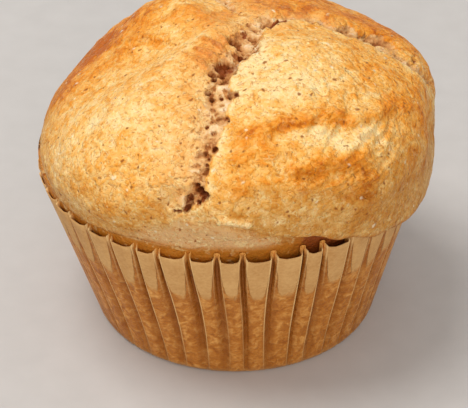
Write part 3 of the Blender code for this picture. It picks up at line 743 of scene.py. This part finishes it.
def make_paper_case():
    """The pleated case: panels that are slightly hollow, between folds that close into loops."""
    draw = random.Random(PLEAT_SEED)
    step = 2 * math.pi / PLEATS
    shifts = [draw.uniform(-PLEAT_SHIFT, PLEAT_SHIFT) * step for _ in range(PLEATS)]
    depths = [1 - draw.uniform(0.0, PLEAT_VARIATION) for _ in range(PLEATS)]
    turns = [draw.uniform(0.0, 2 * math.pi) for _ in range(PLEATS)]
    slope = (CASE_RIM_RADIUS - CASE_BASE_RADIUS) / CASE_HEIGHT
    openness = [1 + draw.uniform(-FOLD_VARIATION, FOLD_VARIATION) for _ in range(PLEATS)]
    rows = []
    for share in PAPER_ROWS:
        height = share * CASE_HEIGHT
        corner = max(0.0, 1 - height / CORNER_RADIUS)
        radius = CASE_BASE_RADIUS + height * slope - CORNER_RADIUS * (1 - math.sqrt(1 - corner * corner))
        near_rim = max(0.0, share - LOOP_RISE_START) / (1 - LOOP_RISE_START)
        highlight_strength = float(smooth(*HIGHLIGHT_FADE, share))
        rolling = ROLL_DEPTH * min(1.0, ROLL_GROWTH * share)
        hollow = PANEL_HOLLOW * min(1.0, ROLL_GROWTH * share)
        fold = fold_shape(share)
        middles = []
        mouths = []
        for index in range(PLEATS):
            wander = FOLD_WANDER * math.sin(turns[index] + FOLD_WANDER_TURN * share) * share / radius
            middles.append(PLEAT_TURN + index * step + shifts[index] + wander)
            mouths.append(fold[0][0] * (openness[index] + (1 - openness[index]) * near_rim) / radius)
        for index in range(PLEATS):
            middle = middles[index]
            following = (index + 1) % PLEATS
            width = mouths[index] / fold[0][0]
            deep = depths[index] * (1 - FOLD_ALTERNATION * (index % 2) * (1 - near_rim))
            rolled_after = 0.5 + 0.5 * math.tanh(ROLL_TURNING * math.sin(2 * middle))
            for away, inwards in [(-away, inwards) for away, inwards in fold] + fold[-2::-1]:
                part = inwards / PLEAT_DEPTH
                rolled = rolled_after if away > 0 else 1 - rolled_after
                reach = radius - inwards * deep - rolling * rolled * (1 - part)
                level = height + LOOP_RISE * part * near_rim
                azimuth = middle + away * width
                shown = max(float(smooth(*HIGHLIGHT_CRISP, 1 - rolled)), HIGHLIGHT_AT_RIM * near_rim)
                # The painted highlight line runs on the mouth of the fold only.
                line = shown * highlight_strength if inwards == 0.0 else 0.0
                rows.append((case_point(reach, azimuth, level), share, 1.0 + part, line))
            left = middle + mouths[index]
            right = middles[following] + (2 * math.pi if following == 0 else 0.0) - mouths[following]
            for part in PANEL_PARTS:
                azimuth = left + part * (right - left)
                crown = 1 - (2 * part - 1) ** 2
                rolled = rolled_after if part < 0.5 else 1 - rolled_after
                rolled *= float(smooth(*ROLL_REACH, abs(2 * part - 1)))
                reach = radius - hollow * crown - rolling * rolled
                level = height - PANEL_DIP * crown ** PANEL_DIP_POWER * near_rim
                across = abs(2 * part - 1 - GREASE_SIDE * math.sin(azimuth))
                rows.append((case_point(reach, azimuth, level), share, across, 0.0))
    count = len(rows) // len(PAPER_ROWS)
    faces = []
    for row in range(len(PAPER_ROWS) - 1):
        for index in range(count):
            following = (index + 1) % count
            low = row * count
            faces.append((low + index, low + following, low + count + following, low + count + index))
    faces += [(len(rows), (index + 1) % count, index) for index in range(count)]
    rows.append(((0.0, 0.0, 0.0), 0.0, 0.0, 0.0))
    vertices, shares, across, highlights = zip(*rows)
    mesh = bpy.data.meshes.new("paper_case_pleated")
    mesh.from_pydata(vertices, [], faces)
    mesh.update()
    mesh.shade_smooth()
    ends = np.empty(len(mesh.edges) * 2, dtype=np.int32)
    mesh.edges.foreach_get("vertices", ends)
    crisp = np.array(highlights)[ends].reshape(-1, 2).min(axis=1) > HIGHLIGHT_LEAST
    sharp = mesh.attributes.new(name="sharp_edge", type="BOOLEAN", domain="EDGE")
    sharp.data.foreach_set("value", crisp)
    add_attribute(mesh, "share", shares)
    add_attribute(mesh, "across", across)
    add_attribute(mesh, "fold_highlight", highlights)
    case = put(mesh.name, mesh)
    shell = case.modifiers.new("paper_thickness", "SOLIDIFY")
    shell.thickness = PAPER_SHOWN
    shell.offset = -1.0
    return case


def linear(red, green, blue):
    """A screen colour in 0 to 255 as the linear colour that shaders take."""
    channels = [value / 255 for value in (red, green, blue)]
    return (*(value / 12.92 if value <= 0.04045 else ((value + 0.055) / 1.055) ** 2.4
              for value in channels), 1.0)


class Material:
    """A node material: its methods add nodes and return their output."""

    def __init__(self, name, roughness, specular):
        self.material = bpy.data.materials.new(name)
        self.material.use_nodes = True
        self.tree = self.material.node_tree
        self.shader = self.tree.nodes["Principled BSDF"]
        self.shader.inputs["Roughness"].default_value = roughness
        self.shader.inputs["Specular IOR Level"].default_value = specular
        self.place = self.add("ShaderNodeTexCoord").outputs["Object"]

    def add(self, kind, **settings):
        node = self.tree.nodes.new(kind)
        for name, value in settings.items():
            setattr(node, name, value)
        return node

    def feed(self, socket, value):
        if isinstance(value, bpy.types.NodeSocket):
            self.tree.links.new(value, socket)
        else:
            socket.default_value = value

    def attribute(self, name):
        return self.add("ShaderNodeAttribute", attribute_name=name).outputs["Fac"]

    def math(self, operation, first, second=0.0):
        node = self.add("ShaderNodeMath", operation=operation)
        self.feed(node.inputs[0], first)
        self.feed(node.inputs[1], second)
        return node.outputs[0]

    def times(self, first, second):
        return self.math("MULTIPLY", first, second)

    def plus(self, first, second):
        return self.math("ADD", first, second)

    def swing(self, source, weight):
        """How far noise is from its middle, times a weight."""
        return self.times(self.math("SUBTRACT", source, 0.5), weight)

    def scaled(self, stretch):
        node = self.add("ShaderNodeMapping")
        node.inputs["Scale"].default_value = stretch
        self.feed(node.inputs["Vector"], self.place)
        return node.outputs[0]

    def texture(self, kind, size, place=None, **inputs):
        """A texture with features about a size in millimetres across."""
        node = self.add(kind)
        self.feed(node.inputs["Vector"], place or self.place)
        node.inputs["Scale"].default_value = 1.0 / (size * MM)
        for name, value in inputs.items():
            node.inputs[name].default_value = value
        return node

    def warped(self, size, amount):
        """Coordinates pushed about by noise, by up to about an amount in millimetres."""
        push = self.add("ShaderNodeVectorMath", operation="SCALE")
        self.feed(push.inputs[0], self.texture("ShaderNodeTexNoise", size, Detail=0.0).outputs["Color"])
        push.inputs["Scale"].default_value = amount * 2 * MM
        total = self.add("ShaderNodeVectorMath", operation="ADD")
        self.feed(total.inputs[0], self.place)
        self.feed(total.inputs[1], push.outputs[0])
        return total.outputs[0]

    def noise(self, size, detail=3.0, distortion=0.0, place=None):
        node = self.texture("ShaderNodeTexNoise", size, place, Detail=detail, Distortion=distortion)
        return node.outputs["Fac"]

    def curls(self, size, width, chosen):
        """Thin curling lines, broken up into short pieces that cover about the chosen share."""
        offset = self.math("SUBTRACT", self.noise(size, 1.0, 0.6), 0.5)
        line = self.spread(self.math("ABSOLUTE", offset), 0.0, width, 1.0, 0.0)
        patches = self.spread(self.noise(size * 0.8, 1.0), 0.60 - 0.2 * chosen, 0.68 - 0.2 * chosen)
        return self.times(line, patches)

    def spread(self, value, low, high, start=0.0, end=1.0):
        """A value eased from low to high onto start to end."""
        node = self.add("ShaderNodeMapRange", interpolation_type="SMOOTHSTEP")
        for socket, given in zip(node.inputs, (value, low, high, start, end)):
            self.feed(socket, given)
        return node.outputs[0]

    def ramp(self, value, stops):
        node = self.add("ShaderNodeValToRGB")
        elements = node.color_ramp.elements
        while len(elements) < len(stops):
            elements.new(0.5)
        for element, (position, color) in zip(elements, stops):
            element.position = position
            element.color = linear(*color)
        self.feed(node.inputs[0], value)
        return node.outputs[0]

    def mix(self, amount, first, second):
        """One colour turning into another; colours may be given as (red, green, blue) in 0 to 255."""
        node = self.add("ShaderNodeMix", data_type="RGBA", clamp_factor=True)
        self.feed(node.inputs["Factor"], amount)
        for socket, color in zip((node.inputs[6], node.inputs[7]), (first, second)):
            self.feed(socket, linear(*color) if isinstance(color, tuple) else color)
        return node.outputs[2]

    def spots(self, size, radius, chosen, place):
        """Round spots: size of the cells, radius in cells, and the share of the cells that have one."""
        cells = self.texture("ShaderNodeTexVoronoi", size, place)
        draw = self.add("ShaderNodeSeparateColor")
        self.feed(draw.inputs[0], cells.outputs["Color"])
        present = self.math("GREATER_THAN", draw.outputs[0], 1 - chosen)
        return self.times(self.spread(cells.outputs["Distance"], radius * 1.5, radius * 0.5), present)

    def finish(self, color, height, distance, roughness=None):
        self.feed(self.shader.inputs["Base Color"], color)
        if roughness is not None:
            self.feed(self.shader.inputs["Roughness"], roughness)
        bump_node = self.add("ShaderNodeBump")
        bump_node.inputs["Distance"].default_value = distance
        bump_node.inputs["Strength"].default_value = 1.0
        self.feed(bump_node.inputs["Height"], height)
        self.feed(self.shader.inputs["Normal"], bump_node.outputs[0])
        return self.material


def crust_material():
    """Baked crust: golden to orange, with pores, fine curls and pale patches, and torn crumb, with
    painted highlights on the curls and painted shade in the cavities, under the lip and low down.
    """
    crust = Material("crust", 0.55, 0.20)
    broad = crust.noise(12.0, 3.0)
    mottle = crust.noise(3.0, 3.0, 0.6)
    fine = crust.noise(1.2, 3.0, 0.8)
    tiny = crust.noise(0.5, 2.0, 0.4)
    curls = crust.curls(1.15, 0.060, 0.5)
    # Raised curls that carry painted highlights.
    highlight_curls = crust.curls(1.30, 0.065, 0.4)
    pale_patches = crust.spread(crust.noise(1.6, 2.0, 0.8), 0.58, 0.68)
    scattered = crust.warped(1.1, 0.5)
    pores = crust.spots(1.9, 0.135, 0.66, scattered)
    small_pores = crust.spots(0.85, 0.15, 0.42, scattered)
    beside_pores = crust.spots(1.2, 0.23, 0.60, crust.warped(0.8, 0.7))
    specks = crust.spots(2.4, 0.13, 0.35, scattered)

    browning = crust.attribute("brown")
    brown = browning
    for source, weight in ((broad, 0.32), (mottle, 0.95), (fine, 0.80), (tiny, 0.50)):
        brown = crust.plus(brown, crust.swing(source, weight))
    color = crust.ramp(brown, CRUST_RAMP)
    low_color = crust.mix(crust.attribute("neck"), crust.ramp(brown, LOW_RAMP), NECK_COLOR)
    low_color = crust.mix(crust.attribute("stain_and_shade"), low_color, STAIN_AND_SHADE_COLOR)
    color = crust.mix(crust.attribute("low"), color, low_color)
    stretched = crust.attribute("stretched")
    pale = crust.times(pale_patches, crust.spread(browning, 0.15, 0.60, 0.45, 0.08))
    # Painted highlights on the raised curls, mostly where the crust is pale, not on the fat-stained strip.
    highlight_lines = crust.times(highlight_curls, crust.spread(browning, 0.25, 0.60, 0.55, 0.15))
    highlight_lines = crust.times(highlight_lines, crust.math("SUBTRACT", 1.0, crust.attribute("stain_and_shade")))
    for amount, layer in ((crust.times(stretched, 0.45), STRETCHED_COLOR), (pale, PALE_AND_HIGHLIGHT_COLOR),
                          (crust.times(curls, 0.65), CURL_COLOR), (highlight_lines, PALE_AND_HIGHLIGHT_COLOR),
                          (crust.times(specks, 0.60), SPECK_COLOR)):
        color = crust.mix(amount, color, layer)
    texture = crust.swing(fine, 0.9)
    texture = crust.plus(texture, crust.attribute("crumb"))
    fray = crust.swing(tiny, 0.9)
    torn = crust.plus(crust.attribute("torn"), fray)
    color = crust.mix(crust.spread(torn, 0.25, 0.65), color, crust.ramp(texture, CRUMB_RAMP))
    beside = crust.times(stretched, beside_pores)
    for marks, amount, layer in ((small_pores, 0.55, PORE_COLOR), (pores, 0.90, PORE_COLOR),
                                 (beside, 0.85, HOLLOW_COLOR)):
        color = crust.mix(crust.times(marks, amount), color, layer)
    # Painted shade of the cavities and of the gap under the lip, with a ragged edge from noise.
    painted_shade = crust.attribute("painted_shade")
    edge = crust.spread(crust.plus(painted_shade, crust.times(fray, 0.6)), 0.45, 0.70, 0.0, 0.95)
    color = crust.mix(crust.math("MAXIMUM", edge, crust.times(painted_shade, 0.6)), color, PAINTED_SHADE_COLOR)

    height = crust.times(mottle, 1.1)
    for source, weight in ((fine, 0.80), (tiny, 0.30), (curls, -0.06), (highlight_curls, 0.08), (pores, -0.12),
                           (small_pores, -0.05), (beside, -0.18), (specks, 0.12)):
        height = crust.plus(height, crust.times(source, weight))
    height = crust.times(height, crust.spread(crust.attribute("neck"), 0.0, 1.0, 1.0, 0.70))
    crust.shader.inputs["Subsurface Weight"].default_value = 0.12
    crust.shader.inputs["Subsurface Radius"].default_value = (1.0, 0.5, 0.2)
    crust.shader.inputs["Subsurface Scale"].default_value = 1.2 * MM
    return crust.finish(color, height, 0.75 * MM, crust.spread(fine, 0.3, 0.7, 0.40, 0.62))


def paper_material():
    """Brown baking paper: dry and tan near the rim, darker and mottled where the fat soaked in, with
    painted shade in the folds, painted light inside them and painted highlights along their mouths.
    """
    paper = Material("brown_paper", 0.6, 0.2)
    share = paper.attribute("share")
    across = paper.attribute("across")
    wide = paper.noise(5.0, 2.0)
    blotch = paper.noise(1.6, 4.0, 0.8, paper.scaled((1.0, 1.0, 0.9)))
    fine = paper.noise(0.60, 2.0, 0.4, paper.scaled((1.0, 1.0, 1.4)))
    inner = paper.spread(across, 1.0, 1.9)
    climb = paper.math("POWER", paper.math("MINIMUM", across, 1.05), GREASE_CLIMB_POWER)
    line = paper.plus(paper.times(climb, GREASE_CLIMB), GREASE_LINE)
    line = paper.plus(line, paper.swing(wide, 0.16))
    line = paper.plus(line, paper.swing(blotch, 0.08))
    greasy = paper.spread(paper.math("SUBTRACT", line, share), -0.02, 0.04)
    soaked = paper.plus(paper.times(blotch, 0.7), paper.times(fine, 0.3))
    wet_color = paper.ramp(soaked, GREASY_RAMP)
    # Painted shade darkening the soaked paper towards and into the folds.
    groove_shade = paper.plus(paper.times(inner, 0.45), paper.spread(across, 0.45, 1.05, 0.0, 0.40))
    wet_color = paper.mix(groove_shade, wet_color, GROOVE_SHADE_COLOR)
    wet_color = paper.mix(paper.spread(share, 0.05, 0.0, 0.0, 0.6), wet_color, PAPER_EDGE_COLOR)
    grain_value = paper.plus(paper.times(fine, 0.5), paper.times(wide, 0.5))
    # The insides of the folds in the dry paper take the painted light.
    dry_color = paper.mix(paper.times(inner, 0.8), paper.ramp(grain_value, DRY_RAMP), LOOP_PAINTED_LIGHT_COLOR)
    color = paper.mix(greasy, dry_color, wet_color)
    # The painted highlight along the fold mouths.
    fold_highlight = paper.times(paper.attribute("fold_highlight"), 0.95)
    color = paper.mix(fold_highlight, color, FOLD_HIGHLIGHT_COLOR)
    height = paper.plus(paper.times(blotch, 0.8), paper.times(fine, 0.30))
    height = paper.times(height, paper.spread(greasy, 0.0, 1.0, 0.35, 1.0))
    return paper.finish(color, height, 0.48 * MM, paper.spread(greasy, 0.0, 1.0, 0.62, 0.42))


def floor_material():
    floor = Material("floor", 0.7, 0.3)
    fine = floor.noise(6.0, 3.0)
    color = floor.ramp(fine, ((0.3, FLOOR_COLOR), (0.7, tuple(value + 4 for value in FLOOR_COLOR))))
    return floor.finish(color, fine, 0.05 * MM)


def make_camera():
    look = Vector((0.0, math.cos(CAMERA_ELEVATION), -math.sin(CAMERA_ELEVATION)))
    data = bpy.data.cameras.new("camera")
    data.sensor_width = SENSOR_WIDTH_MM
    data.lens = CAMERA_FOCAL_PX / FRAME_WIDTH_PX * SENSOR_WIDTH_MM
    data.clip_start = 10 * MM
    camera = put("camera", data)
    camera.location = Vector(CAMERA_TARGET) - look * CAMERA_DISTANCE
    camera.rotation_euler = look.to_track_quat("-Z", "Y").to_euler()
    bpy.context.scene.camera = camera


def make_stage():
    bpy.ops.mesh.primitive_plane_add(size=FLOOR_SIZE)
    floor = bpy.context.object
    floor.name = "floor"
    floor.data.materials.append(floor_material())
    world = bpy.data.worlds.new("studio")
    world.use_nodes = True
    background = world.node_tree.nodes["Background"]
    background.inputs["Color"].default_value = (*WORLD_COLOR, 1.0)
    background.inputs["Strength"].default_value = WORLD_STRENGTH
    bpy.context.scene.world = world
    bpy.context.scene.view_settings.view_transform = "Standard"
    for name, place, size, power in LIGHTS:
        data = bpy.data.lights.new(name, "AREA")
        data.shape = "DISK"
        data.size = size
        data.energy = power
        light = put(name, data)
        light.location = place
        light.rotation_euler = (-Vector(place)).to_track_quat("-Z", "Y").to_euler()


def main():
    pieces = ((make_muffin(), "muffin", "crust", crust_material()),
              (make_paper_case(), "paper_case", "brown_paper", paper_material()))
    for piece, node, slot, material in pieces:
        piece.data.materials.append(material)
        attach(piece, "root")
        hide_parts(node)
    make_stage()
    make_camera()


main()
